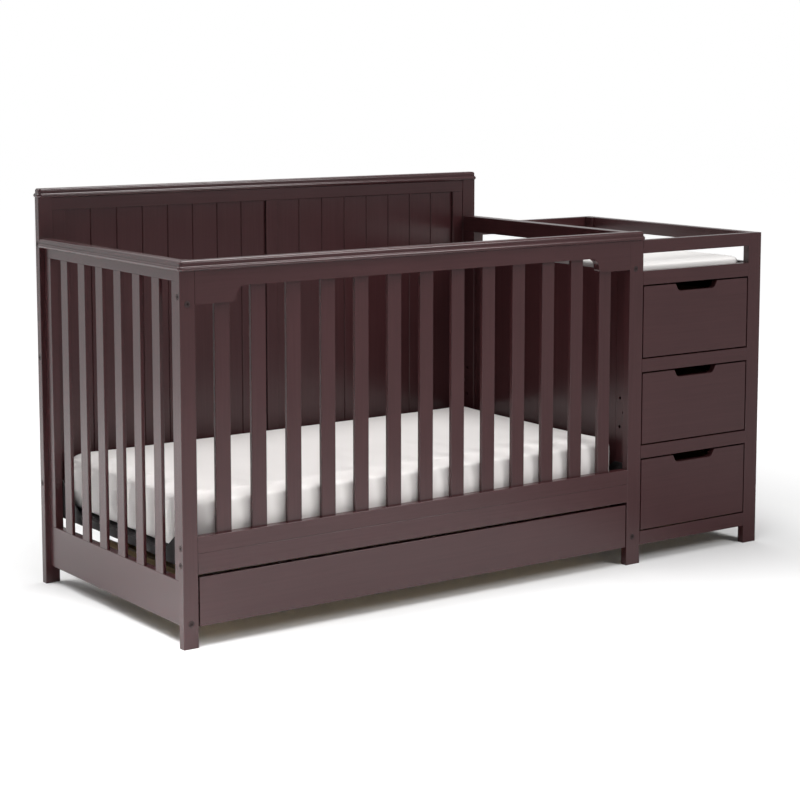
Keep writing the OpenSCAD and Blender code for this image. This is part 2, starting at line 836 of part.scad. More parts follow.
// Runner on the drawer: a web and foot round the side's lower corner, a flange over the front roller and
// the rear roller's pin
module runner() {
    flange_l = runner_l - 32;
    flange_x = pin_clear + 0.3;
    web_x = runner_gap - sheet_t;
    web_h = foot_drop + runner_flange_z + sheet_t;
    translate([web_x, front_back_y, -foot_drop]) cube([sheet_t, runner_l, web_h]);
    translate([web_x, front_back_y, -foot_drop]) cube([side_t, runner_l, sheet_t]);
    translate([flange_x, front_back_y, runner_flange_z]) cube([runner_gap - flange_x, flange_l, sheet_t]);
    rod_x([pin_clear, rear_roller_y, rear_roller_z], roller_pin_r, web_x - pin_clear);
    rod_x([pin_clear, rear_roller_y, rear_roller_z], roller_pin_r + pin_head_over, pin_head_t);
}

// Nylon roller, bored for its pin
module roller(p, r) {
    translate(p) rotate([0, 90, 0]) difference() {
        cylinder(r = r, h = roller_w, $fn = 48);
        translate([0, 0, -1]) cylinder(r = roller_pin_r + roller_fit, h = roller_w + 2);
    }
}

module front_roller() {
    roller([front_roller_x, front_roller_y, front_roller_z], front_roller_r);
}

module rear_roller() {
    roller([rear_roller_x, rear_roller_y, rear_roller_z], rear_roller_r);
}

// A left piece and its mirror image, between cabinet faces at x0 and x1, at height z
module both_sides(x0, x1, z) {
    translate([x0, 0, z]) children();
    translate([x1, 0, z]) mirror([1, 0, 0]) children();
}

// ---- Drawers ----

// Underside of a drawer's sides, from the bottom of its front, and the height of its tracks
function side_z(front_z) = front_z + side_lift;
function track_z(front_z) = side_z(front_z) + foot_drop - sheet_t;

changer_front_z = [for (z = opening_z) z + drawer_gap];
changer_front_h = drawer_open_h - 2 * drawer_gap;
changer_track_z = [for (z = changer_front_z) track_z(z)];
crib_track_z = track_z(crib_front_z0);

// Two sides, grooved for the bottom, and a back that stands on it
module drawer_box(x0, x1, z, h, d, back_drop) {
    y0 = front_back_y;
    panel_z = z + groove_lift;
    for (left = [0, 1]) {
        x = left ? x0 : x1 - side_t;
        groove_x = left ? x0 + side_t - groove_in : x1 - side_t - 1;
        difference() {
            block([x, y0, z], [x + side_t, y0 + d, z + h]);
            block([groove_x, y0 - 1, panel_z], [groove_x + groove_in + 1, y0 + d + 1, panel_z + bottom_t]);
        }
    }
    block([x0 + side_t, y0 + d - side_t, panel_z + bottom_t], [x1 - side_t, y0 + d, z + h - back_drop]);
}

module drawer_bottom(x0, x1, z, d) {
    inner = side_t - groove_in;
    z0 = z + groove_lift;
    block([x0 + inner, front_back_y, z0], [x1 - inner, front_back_y + d, z0 + bottom_t]);
}

crib_box_x = [leg_w + runner_gap, post_x - runner_gap];

module crib_drawer_tracks() {
    color(cream_steel) placed() both_sides(leg_w, post_x, crib_track_z) track();
}

module crib_drawer_front() {
    color(espresso) placed() board_x([leg_w + crib_front_gap, front_recess, crib_front_z0],
        [post_x - crib_front_gap, front_back_y, crib_front_z1]);
}

module crib_drawer_box() {
    color(bare_wood) placed() drawer_box(crib_box_x[0], crib_box_x[1], side_z(crib_front_z0), crib_side_h,
        crib_box_d, crib_back_drop);
}

module crib_drawer_bottom() {
    color(bare_wood) placed() drawer_bottom(crib_box_x[0], crib_box_x[1], side_z(crib_front_z0), crib_box_d);
}

module crib_drawer_runners() {
    color(cream_steel) placed() both_sides(leg_w, post_x, crib_track_z) runner();
}

module crib_drawer_front_rollers() {
    color(nylon) placed() both_sides(leg_w, post_x, crib_track_z) front_roller();
}

module crib_drawer_rear_rollers() {
    color(nylon) placed() both_sides(leg_w, post_x, crib_track_z) rear_roller();
}

// Changer drawers: i is 0 for the bottom one, 1 for the middle one and 2 for the top one
changer_box_x = [open_x0 + runner_gap, open_x1 - runner_gap];

module changer_drawer_tracks() {
    color(cream_steel) placed() for (z = changer_track_z) both_sides(open_x0, open_x1, z) track();
}

// Grip outline, from its bottom edge: splayed sides with rounded lower corners
module grip() {
    splay = 11;
    r = 14;
    steps = 6;
    base = grip_w / 2 - splay;
    angle = atan(splay / grip_d);
    arc_x = base - r * tan((90 - angle) / 2);
    turn = (90 - angle) / steps;
    corner = [for (i = [0:steps]) let (a = turn * i - 90) [arc_x + r * cos(a), r + r * sin(a)]];
    half = concat(corner, [[grip_w / 2, grip_d], [grip_w / 2, grip_d + 1]]);
    polygon(concat(half, [for (i = [len(half) - 1:-1:0]) [-half[i].x, half[i].y]]));
}

module changer_drawer_front(i) {
    w = changer_in_w - 2 * drawer_gap;
    color(espresso) placed() translate([open_x0 + drawer_gap, front_back_y, changer_front_z[i]])
        rotate([90, 0, 0]) linear_extrude(front_t) difference() {
            eased_rect(w, changer_front_h);
            translate([w / 2, changer_front_h - grip_d]) grip();
        }
}

module changer_drawer_box(i) {
    color(bare_wood) placed() drawer_box(changer_box_x[0], changer_box_x[1], side_z(changer_front_z[i]),
        changer_side_h, changer_box_d, 0);
}

module changer_drawer_bottom(i) {
    color(bare_wood) placed()
        drawer_bottom(changer_box_x[0], changer_box_x[1], side_z(changer_front_z[i]), changer_box_d);
}

module changer_drawer_runners(i) {
    color(cream_steel) placed() both_sides(open_x0, open_x1, changer_track_z[i]) runner();
}

module changer_drawer_front_rollers(i) {
    color(nylon) placed() both_sides(open_x0, open_x1, changer_track_z[i]) front_roller();
}

module changer_drawer_rear_rollers(i) {
    color(nylon) placed() both_sides(open_x0, open_x1, changer_track_z[i]) rear_roller();
}

// ---- Nodes ----

headboard_posts();
headboard_cap();
headboard_top_rail();
headboard_bottom_rail();
headboard_stiles();
headboard_panels();
front_left_leg();
shared_front_post();
front_cap();
front_top_rail();
front_bottom_rail();
front_apron();
front_slats();
left_end_cap();
left_end_top_rail();
left_end_stiles();
left_end_slats();
left_end_apron();
support_brackets();
support_frame();
support_bands();
mattress();
changer_front_right_post();
changer_back_posts();
changer_side_stiles();
changer_side_panels();
changer_back_panel();
changer_top_board();
changer_front_rails();
changer_back_rails();
changer_side_gallery_rails();
runner_cleats();
changing_pad();
frame_bolts();
crib_drawer_tracks();
changer_drawer_tracks();
crib_drawer_front();
crib_drawer_box();
crib_drawer_bottom();
crib_drawer_runners();
crib_drawer_front_rollers();
crib_drawer_rear_rollers();
changer_drawer_front(2);  // top_drawer_front
changer_drawer_box(2);  // top_drawer_box
changer_drawer_bottom(2);  // top_drawer_bottom
changer_drawer_runners(2);  // top_drawer_runners
changer_drawer_front_rollers(2);  // top_drawer_front_rollers
changer_drawer_rear_rollers(2);  // top_drawer_rear_rollers
changer_drawer_front(1);  // middle_drawer_front
changer_drawer_box(1);  // middle_drawer_box
changer_drawer_bottom(1);  // middle_drawer_bottom
changer_drawer_runners(1);  // middle_drawer_runners
changer_drawer_front_rollers(1);  // middle_drawer_front_rollers
changer_drawer_rear_rollers(1);  // middle_drawer_rear_rollers
changer_drawer_front(0);  // bottom_drawer_front
changer_drawer_box(0);  // bottom_drawer_box
changer_drawer_bottom(0);  // bottom_drawer_bottom
changer_drawer_runners(0);  // bottom_drawer_runners
changer_drawer_front_rollers(0);  // bottom_drawer_front_rollers
changer_drawer_rear_rollers(0);  // bottom_drawer_rear_rollers
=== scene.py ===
# %% [markdown]
# # A crib with an attached changer
# The real object is flat-packed timber furniture in one dark satin lacquer: a slatted crib with a tall
# grooved headboard and a long drawer, and a narrow changer with three drawers that shares the crib's front
# right post. The construction is already modelled as solids, so this lesson is about looks. We load those
# solids as a fixed frame, give each finish its own procedural material, and build anew only what a solid
# can't show: the soft mattress and changing pad.

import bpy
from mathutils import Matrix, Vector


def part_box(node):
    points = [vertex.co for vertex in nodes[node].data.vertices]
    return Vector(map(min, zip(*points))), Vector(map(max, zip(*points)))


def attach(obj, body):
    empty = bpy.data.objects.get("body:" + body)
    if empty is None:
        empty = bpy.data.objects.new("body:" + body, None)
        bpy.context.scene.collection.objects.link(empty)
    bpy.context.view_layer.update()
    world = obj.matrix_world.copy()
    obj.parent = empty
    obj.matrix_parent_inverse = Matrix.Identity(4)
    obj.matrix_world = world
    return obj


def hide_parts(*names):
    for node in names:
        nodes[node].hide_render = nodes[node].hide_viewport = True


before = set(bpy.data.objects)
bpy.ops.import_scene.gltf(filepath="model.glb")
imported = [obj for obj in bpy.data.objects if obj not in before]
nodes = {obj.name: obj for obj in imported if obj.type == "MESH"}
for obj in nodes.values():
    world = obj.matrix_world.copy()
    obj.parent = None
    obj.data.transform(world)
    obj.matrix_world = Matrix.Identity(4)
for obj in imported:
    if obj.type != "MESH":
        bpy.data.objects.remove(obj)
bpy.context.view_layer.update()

# %% Tools for the rest of the lesson
import math

import bmesh
import bpy
from mathutils import Vector

scene = bpy.context.scene
print("working in Blender", bpy.app.version_string)

# %% [markdown]
# ## Shader maths as plain Python
# A material is a small graph of nodes. Wiring each one by hand hides the idea behind it, so a `Wire` stands
# for one socket. Adding or multiplying wires adds Math nodes, and `add` makes any other node: first its
# settings, then the values or links of its sockets.

# %% One class for a socket
class Wire:
    def __init__(self, tree, socket=None):
        self.tree = tree
        self.socket = socket

    def add(self, kind, settings=None, sockets=None, output=0):
        node = self.tree.nodes.new(kind)
        for name, value in (settings or {}).items():
            if name == "stops":
                set_stops(node.color_ramp, value)
            else:
                setattr(node, name, value)
        for name, value in (sockets or {}).items():
            if isinstance(value, Wire):
                self.tree.links.new(value.socket, node.inputs[name])
            else:
                node.inputs[name].default_value = value
        return Wire(self.tree, node.outputs[output] if len(node.outputs) else None)

    def maths(self, operation, a, b):
        return self.add("ShaderNodeMath", {"operation": operation}, {0: a, 1: b})

    def __add__(self, other):
        return self.maths("ADD", self, other)

    def __radd__(self, other):
        return self.maths("ADD", other, self)

    def __sub__(self, other):
        return self.maths("SUBTRACT", self, other)

    def __rsub__(self, other):
        return self.maths("SUBTRACT", other, self)

    def __mul__(self, other):
        return self.maths("MULTIPLY", self, other)

    def __rmul__(self, other):
        return self.maths("MULTIPLY", other, self)

    def __pow__(self, other):
        return self.maths("POWER", self, other)


def set_stops(color_ramp, stops):
    """Fills a colour ramp from (position, grey or colour) pairs."""
    while len(color_ramp.elements) > 1:
        color_ramp.elements.remove(color_ramp.elements[-1])
    for i, (position, value) in enumerate(stops):
        stop = color_ramp.elements[0] if i == 0 else color_ramp.elements.new(position)
        stop.position = position
        stop.color = (value, value, value, 1) if isinstance(value, (int, float)) else (*value, 1)


print("a Wire adds, subtracts, multiplies and takes powers")

# %% [markdown]
# ## The building blocks of a finish
# Every finish here needs the same few things: the object's own coordinates, in metres; soft noise at a real
# size; a mix of two colours; and a bump of a real depth. Each is one short function, so the finishes below
# read like recipes. Colours are written as a paint chart gives them and turned into the linear values that
# light uses.

# %% Colour, coordinates, noise, mix and bump
def paint(red, green, blue):
    """A colour from 0 to 255 per channel, as linear light by the sRGB curve."""
    channels = (red, green, blue)
    return tuple(((c / 255 + 0.055) / 1.055) ** 2.4 if c > 10 else c / 255 / 12.92 for c in channels)


def new_finish(name):
    material = bpy.data.materials.new(name)
    material.use_nodes = True
    material.node_tree.nodes.clear()
    return material, Wire(material.node_tree)


def place(wire, stretch=(1, 1, 1)):
    """Where a point lies on the piece, stretched along the three axes."""
    point = wire.add("ShaderNodeTexCoord", output="Object")
    return wire.add("ShaderNodeVectorMath", {"operation": "MULTIPLY"}, {0: point, 1: stretch})


def noise(wire, point, scale, detail=2.0, roughness=0.5, distortion=0.0):
    sockets = {"Vector": point, "Scale": scale, "Detail": detail, "Roughness": roughness,
               "Distortion": distortion}
    return wire.add("ShaderNodeTexNoise", None, sockets)


def ramp(wire, factor, *stops):
    return wire.add("ShaderNodeValToRGB", {"stops": stops}, {"Fac": factor})


def mix(wire, factor, a, b):
    """Two colours, or wires that carry colours, mixed by factor."""
    full = [c if isinstance(c, Wire) else (*c, 1) for c in (a, b)]
    settings = {"data_type": "RGBA", "clamp_factor": True}
    # The Mix node has its sockets for every data type: 6, 7 and output 2 are those for colours.
    return wire.add("ShaderNodeMix", settings, {0: factor, 6: full[0], 7: full[1]}, output=2)


def bump(wire, height, depth, strength=1.0):
    """Bumps of that depth in metres where height goes from 0 to 1."""
    sockets = {"Height": height, "Distance": depth, "Strength": strength}
    return wire.add("ShaderNodeBump", None, sockets, output="Normal")


def close(wire, **sockets):
    """Ends a finish in a Principled shader; names with spaces are written with underscores."""
    named = {name.replace("_", " "): value for name, value in sockets.items()}
    for name, value in named.items():
        if isinstance(value, tuple) and len(value) == 3:
            named[name] = (*value, 1)
    shader = wire.add("ShaderNodeBsdfPrincipled", None, named)
    wire.add("ShaderNodeOutputMaterial", None, {"Surface": shader})


print("a middle grey of 128 is", round(paint(128, 128, 128)[0], 3), "as linear light")

# %% [markdown]
# ## Espresso lacquer over timber
# The crib's timber is stained nearly black-brown and sprayed with a satin lacquer. From a step away it
# looks plain, but the lacquer sinks a little along the grain, the stain takes unevenly, and the spray
# leaves a faint ripple. A grain runs along each board, so there is one finish per direction: the same
# noise, squeezed across the board and drawn out along it. The differences stay small, as on the real
# finish.

# %% Lacquered timber, one finish per grain direction
ESPRESSO_DARK = paint(59, 31, 33)
ESPRESSO_LIGHT = paint(67, 37, 39)
ALONG, ACROSS = 5, 170  # how often the grain changes per metre
LACQUER_DEPTH = 0.00010  # metres


def lacquered_timber(name, stretch):
    material, wire = new_finish(name)
    grain = noise(wire, place(wire, stretch), scale=1.0, detail=5.0, roughness=0.6, distortion=0.4)
    stain = noise(wire, place(wire), scale=3.5, detail=3.0, roughness=0.55)
    ripple = noise(wire, place(wire), scale=38.0, detail=1.0)
    tone = ramp(wire, grain * 0.55 + stain * 0.45, (0.3, 0.0), (0.7, 1.0))
    pores = ramp(wire, grain, (0.34, 0.0), (0.46, 1.0))
    satin = 0.17 + 0.07 * stain + 0.05 * grain
    close(wire, Base_Color=mix(wire, tone, ESPRESSO_DARK, ESPRESSO_LIGHT), Roughness=satin,
          Normal=bump(wire, pores * 0.3 + ripple * 0.7, LACQUER_DEPTH, strength=0.5))
    return material


timber_x = lacquered_timber("espresso_grain_x", (ALONG, ACROSS, ACROSS))
timber_y = lacquered_timber("espresso_grain_y", (ACROSS, ALONG, ACROSS))
timber_z = lacquered_timber("espresso_grain_z", (ACROSS, ACROSS, ALONG))
print("lacquered timber in", len([timber_x, timber_y, timber_z]), "grain directions")

# %% [markdown]
# ## Clear sealed drawer timber
# The drawer boxes and the strips behind the runners aren't stained. They are pale timber under a thin clear
# sealer, olive-tan in the photograph's shade. Here the grain shows: growth rings make broad bands, which a
# distorted noise gives, and fine pores run along them. A box has its sides and its back in one piece's
# mesh, and their grain runs in different directions. The way a face looks tells them apart.

# %% Drawer timber
ALONG_X = (4, 120, 120)  # how often the grain changes per metre
ALONG_Y = (120, 4, 120)
RING_DARK, RING_MIDDLE, RING_PALE = paint(158, 134, 98), paint(186, 163, 124), paint(204, 184, 146)
FIBRE_DARK = paint(134, 110, 76)
FIBRE_DEPTH = 0.00025  # metres


def sealed_timber(name, on_sides, on_fronts):
    """Grain along one axis, and along another one on the faces that look to the front or back."""
    material, wire = new_finish(name)
    normal = wire.add("ShaderNodeTexCoord", output="Normal")
    facing = wire.add("ShaderNodeSeparateXYZ", None, {"Vector": normal}, output="Y")
    stretch = mix(wire, (facing * facing) ** 4.0, on_sides, on_fronts)
    bands = noise(wire, place(wire, stretch), scale=0.35, detail=3.0, roughness=0.5, distortion=1.6)
    fibre = noise(wire, place(wire, stretch), scale=2.6, detail=4.0, roughness=0.65)
    tone = ramp(wire, bands, (0.32, RING_DARK), (0.52, RING_MIDDLE), (0.68, RING_PALE))
    close(wire, Base_Color=mix(wire, fibre * 0.35, tone, FIBRE_DARK), Roughness=0.5 + 0.12 * fibre,
          Normal=bump(wire, fibre, FIBRE_DEPTH, strength=0.6), Specular_IOR_Level=0.35)
    return material


box_timber = sealed_timber("sealed_timber_of_the_boxes", ALONG_Y, ALONG_X)
bottom_timber = sealed_timber("sealed_timber_of_the_bottoms", ALONG_X, ALONG_X)
print("sealed timber:", box_timber.name, "and", bottom_timber.name)

# %% [markdown]
# ## Metal and nylon
# The mattress support is black painted angle on black gusset plates, the bolts are blackened, and the
# runners are sheet steel with a thick cream coat. Paint on metal shows a fine orange peel. The bolts'
# blackening is thin, so bare steel glints through where a key has turned. The nylon rollers are moulded:
# off-white, slightly waxy.

# %% Painted steel and nylon
def thick_coat(name, colour, worn, roughness, peel_depth):
    """Paint, or moulded nylon's skin: an orange peel of peel_depth metres, and a worn tone in patches."""
    material, wire = new_finish(name)
    peel = noise(wire, place(wire), scale=900.0, detail=2.0)
    dust = noise(wire, place(wire), scale=14.0, detail=4.0, roughness=0.6)
    shade = mix(wire, ramp(wire, dust, (0.45, 0.0), (0.75, 0.5)), colour, worn)
    close(wire, Base_Color=shade, Roughness=roughness + 0.15 * dust,
          Normal=bump(wire, peel, peel_depth, strength=0.6), Specular_IOR_Level=0.45)
    return material


support_black = thick_coat("support_black_paint", paint(30, 26, 27), paint(46, 42, 43),
                           roughness=0.5, peel_depth=0.00006)
bracket_black = thick_coat("bracket_black_paint", paint(22, 19, 20), paint(38, 34, 35),
                           roughness=0.45, peel_depth=0.00006)
runner_cream = thick_coat("runner_cream_coat", paint(206, 202, 190), paint(190, 186, 172),
                          roughness=0.38, peel_depth=0.00004)
roller_nylon = thick_coat("roller_nylon", paint(222, 221, 212), paint(205, 203, 192),
                          roughness=0.4, peel_depth=0.00003)
print("coats:", [m.name for m in (support_black, bracket_black, runner_cream, roller_nylon)])

# %% Blackened bolts
BOLT_BLACK, BOLT_BARE = paint(46, 34, 35), paint(96, 80, 78)
RUB_DEPTH = 0.00004  # metres


def blackened_steel(name):
    material, wire = new_finish(name)
    patches = noise(wire, place(wire), scale=420.0, detail=3.0, roughness=0.7)
    rub = ramp(wire, patches, (0.5, 0.0), (0.72, 1.0))
    close(wire, Base_Color=mix(wire, rub, BOLT_BLACK, BOLT_BARE), Roughness=0.48 - 0.15 * rub,
          Metallic=0.2 + 0.7 * rub, Normal=bump(wire, rub, RUB_DEPTH, strength=0.5), Specular_IOR_Level=0.3)
    return material


bolt_black = blackened_steel("blackened_bolt")
print("bolts:", bolt_black.name)

# %% [markdown]
# ## Which piece wears which finish
# The grain follows how each board was cut: along the rails, the caps and the drawers' fronts, up the posts,
# slats and panels, and front to back on the left end's rails and the side gallery rails. A short table says
# so, and every solid piece gets its finish here. The two soft pieces are made further down.

# %% Dress the solid pieces
FINISHES = {
    timber_x: """headboard_cap headboard_top_rail headboard_bottom_rail front_cap front_top_rail
        front_bottom_rail front_apron changer_top_board changer_front_rails changer_back_rails
        crib_drawer_front top_drawer_front middle_drawer_front bottom_drawer_front""",
    timber_y: "left_end_cap left_end_top_rail left_end_apron changer_side_gallery_rails",
    timber_z: """headboard_posts headboard_stiles headboard_panels front_left_leg shared_front_post
        front_slats left_end_stiles left_end_slats changer_front_right_post changer_back_posts
        changer_side_stiles changer_side_panels changer_back_panel""",
    box_timber: "runner_cleats crib_drawer_box top_drawer_box middle_drawer_box bottom_drawer_box",
    bottom_timber: "crib_drawer_bottom top_drawer_bottom middle_drawer_bottom bottom_drawer_bottom",
    support_black: "support_frame support_bands",
    bracket_black: "support_brackets",
    bolt_black: "frame_bolts",
    runner_cream: """crib_drawer_tracks changer_drawer_tracks crib_drawer_runners top_drawer_runners
        middle_drawer_runners bottom_drawer_runners""",
    roller_nylon: """crib_drawer_front_rollers crib_drawer_rear_rollers top_drawer_front_rollers
        top_drawer_rear_rollers middle_drawer_front_rollers middle_drawer_rear_rollers
        bottom_drawer_front_rollers bottom_drawer_rear_rollers""",
}


def dress(piece, material):
    piece.data.materials.clear()
    piece.data.materials.append(material)


for finish, names in FINISHES.items():
    for name in names.split():
        dress(nodes[name], finish)
dressed = {name for names in FINISHES.values() for name in names.split()}
undressed = sorted(set(nodes) - dressed)
print("still without a finish:", undressed)

# %% [markdown]
# ## Soft pieces: how a stuffed pad gets its shape
# A mattress is a foam core pulled tight in a sewn cover. Its plan is a rounded rectangle, its edges are
# soft, and the cover bulges where nothing holds it. We start a little small, from a bevelled block, let an
# evenly spaced mesh swell under pressure as cloth, cap how far any point may move so that the core keeps
# its size, and press the underside flat on what carries it. One subdivision then smooths the result.

# %% A bevelled block of the pad's size
LEVEL = 1e-6  # two points are level when their heights differ by less, in metres


def bevelled_block(length, width, height, plan_r, edge_r):
    """A block on z = 0 with rounded corners in plan and soft upper and lower edges."""
    bm = bmesh.new()
    bmesh.ops.create_cube(bm, size=1.0)
    bmesh.ops.scale(bm, vec=(length, width, height), verts=bm.verts)
    bmesh.ops.translate(bm, vec=(0, 0, height / 2), verts=bm.verts)
    upright = [e for e in bm.edges if abs(e.verts[0].co.z - e.verts[1].co.z) > height / 2]
    bmesh.ops.bevel(bm, geom=upright, affect="EDGES", offset=plan_r, segments=10, profile=0.5, material=-1)
    flat = [e for e in bm.edges if abs(e.verts[0].co.z - e.verts[1].co.z) < LEVEL and len(e.link_faces) == 2]
    rims = [e for e in flat if abs(e.link_faces[0].normal.z - e.link_faces[1].normal.z) > 0.5]
    bmesh.ops.bevel(bm, geom=rims, affect="EDGES", offset=edge_r, segments=6, profile=0.5, material=-1)
    return bm


def as_piece(bm, name):
    """Turns a bmesh into an object of the scene, with its place in its mesh."""
    bmesh.ops.recalc_face_normals(bm, faces=bm.faces)
    mesh = bpy.data.meshes.new(name)
    bm.to_mesh(mesh)
    bm.free()
    piece = bpy.data.objects.new(name, mesh)
    scene.collection.objects.link(piece)
    return piece


# %% Apply what the modifiers make
def apply_modifiers(piece):
    """Replaces the piece's mesh by what its modifiers make of it."""
    graph = bpy.context.evaluated_depsgraph_get()
    made = bpy.data.meshes.new_from_object(piece.evaluated_get(graph))
    piece.modifiers.clear()
    piece.data = made


# %% Swell it as cloth, then keep it in bounds
SWELL_FRAMES = 20
SEAM_REACH = 0.006  # metres over which a seam's hold fades
PRESSURE = 4.0


def swell(piece, cap, seam_z):
    """Cloth under pressure; points near the seams' heights stay, and none moves more than cap."""
    start = [v.co.copy() for v in piece.data.vertices]
    held = piece.vertex_groups.new(name="seams")
    for v in piece.data.vertices:
        near = min(abs(v.co.z - z) for z in seam_z)
        held.add([v.index], max(0.0, 1 - near / SEAM_REACH), "REPLACE")
    cloth = piece.modifiers.new("cover", "CLOTH")
    cloth.settings.quality = 4
    cloth.settings.mass = 0.4
    cloth.settings.tension_stiffness = 12
    cloth.settings.compression_stiffness = 12
    cloth.settings.bending_stiffness = 2.5
    cloth.settings.use_pressure = True
    cloth.settings.uniform_pressure_force = PRESSURE
    cloth.settings.vertex_group_mass = "seams"
    cloth.settings.effector_weights.gravity = 0
    cloth.collision_settings.use_self_collision = False
    for frame_number in range(1, SWELL_FRAMES + 1):
        scene.frame_set(frame_number)
    apply_modifiers(piece)
    scene.frame_set(1)
    moved = 0.0
    for v, home in zip(piece.data.vertices, start):
        path = v.co - home
        if path.length > cap:
            v.co = home + path * (cap / path.length)
        moved = max(moved, (v.co - home).length)
    return moved


# %% The whole recipe
SEAM_SHARE = 0.55  # a seam runs this share of the edge's radius from the top and from the bottom


def padded_piece(name, size, centre, base, plan_r, edge_r, voxel, cap):
    """A swollen pad of that size, flat underneath, standing at height base round the centre."""
    length, width, height = size
    bm = bevelled_block(length - 2 * cap, width - 2 * cap, height - cap, plan_r, edge_r)
    piece = as_piece(bm, name)
    remesh = piece.modifiers.new("even mesh", "REMESH")
    remesh.mode = "VOXEL"
    remesh.voxel_size = voxel
    apply_modifiers(piece)
    moved = swell(piece, cap, (edge_r * SEAM_SHARE, height - cap - edge_r * SEAM_SHARE))
    print(name, "swelled by up to", round(moved * 1000, 1), "mm")
    for v in piece.data.vertices:
        v.co = Vector((v.co.x + centre[0], v.co.y + centre[1], max(v.co.z, 0.0) + base))
    piece.data.shade_smooth()
    smooth = piece.modifiers.new("smooth cover", "SUBSURF")
    smooth.levels = smooth.render_levels = 1
    return piece


# %% [markdown]
# ## The covers' cloth
# Both covers are plain white. The mattress has a tightly woven cover with a slight warmth; the pad's is a
# little softer. A weave is sets of ribs that cross, a little over one millimetre apart, so it only shows in
# close-ups. The light mostly reads the long shallow wrinkles that a cover has where it is pulled over its
# corners.

# %% Woven covers
WEAVE_DEPTH = 0.0002  # metres


def woven_cover(name, colour, shade, pitch, wrinkle_depth):
    material, wire = new_finish(name)
    turn = 2 * math.pi / pitch
    ribs = []
    for axis in range(3):
        part = wire.add("ShaderNodeSeparateXYZ", None, {"Vector": place(wire)}, output=axis)
        ribs.append(wire.maths("SINE", part * turn, 0.0))
    weave = (ribs[0] * ribs[1] + ribs[2] * (ribs[0] + ribs[1])) * 0.25 + 0.5
    wrinkle = noise(wire, place(wire, (1, 1.6, 2.2)), scale=5.0, detail=3.0, roughness=0.5, distortion=0.6)
    lint = noise(wire, place(wire), scale=260.0, detail=3.0, roughness=0.6)
    tone = mix(wire, wrinkle * 0.35 + weave * 0.12 + lint * 0.15, colour, shade)
    soft = bump(wire, wrinkle, wrinkle_depth, strength=0.5)
    ribbed = {"Height": weave * 0.7 + lint * 0.3, "Distance": WEAVE_DEPTH, "Strength": 0.5, "Normal": soft}
    fine = wire.add("ShaderNodeBump", None, ribbed, output="Normal")
    close(wire, Base_Color=tone, Roughness=0.86 + 0.08 * lint, Normal=fine, Sheen_Weight=0.25,
          Sheen_Roughness=0.5, Specular_IOR_Level=0.25)
    return material


mattress_cloth = woven_cover("mattress_cover", paint(230, 226, 224), paint(216, 212, 209),
                             pitch=0.0012, wrinkle_depth=0.004)
pad_cloth = woven_cover("pad_cover", paint(240, 238, 236), paint(224, 221, 219),
                        pitch=0.0016, wrinkle_depth=0.003)
print("covers:", mattress_cloth.name, "and", pad_cloth.name)

# %% [markdown]
# ## Mattress and changing pad
# Each takes its size and place from its solid, which it then stands for. The foam is firm, so the cover is
# nearly full: the mattress swells by a few millimetres, the thin pad by less.

# %% Sizes from the solid, and its place taken over
def size_and_place(node):
    """The solid's size, its middle and the height of its underside."""
    low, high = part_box(node)
    return high - low, (low + high) / 2, low.z


def stand_for(piece, node, material):
    dress(piece, material)
    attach(piece, "frame")
    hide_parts(node)


# %% Mattress
extent, middle, base = size_and_place("mattress")
mattress = padded_piece("crib_mattress", extent, middle, base,
                        plan_r=0.045, edge_r=0.018, voxel=0.010, cap=0.006)
stand_for(mattress, "mattress", mattress_cloth)
print("mattress", [round(c, 3) for c in extent], "on", round(base, 4))

# %% Changing pad
extent, middle, base = size_and_place("changing_pad")
pad = padded_piece("changer_pad", extent, middle, base,
                   plan_r=0.038, edge_r=0.012, voxel=0.006, cap=0.003)
stand_for(pad, "changing_pad", pad_cloth)
print("changing pad", [round(c, 3) for c in extent], "on", round(base, 4))

# %% [markdown]
# ## Floor, backdrop and light
# The photograph is a studio cut-out: white floor, white backdrop, and light so even that only soft shade
# shows under the object. The floor takes the object's shadow and is bright enough to meet the white
# backdrop. The camera sees a white world everywhere. The lacquer mirrors that white at the back left only,
# where the photograph's left end gets its pale sheen, and a dimmer studio in front and at the right. The
# light that falls on the object stays at a plain level.

# %% A ramp over real lengths
def over_metres(wire, length, half, *stops):
    """A ramp over lengths from -half to half metres, with its stops in metres too."""
    scaled = [((metres / half + 1) / 2, value) for metres, value in stops]
    return ramp(wire, length * (0.5 / half) + 0.5, *scaled)


# %% Floor
FLOOR_HALF = 30  # metres from the middle to an edge
PAPER = 0.86


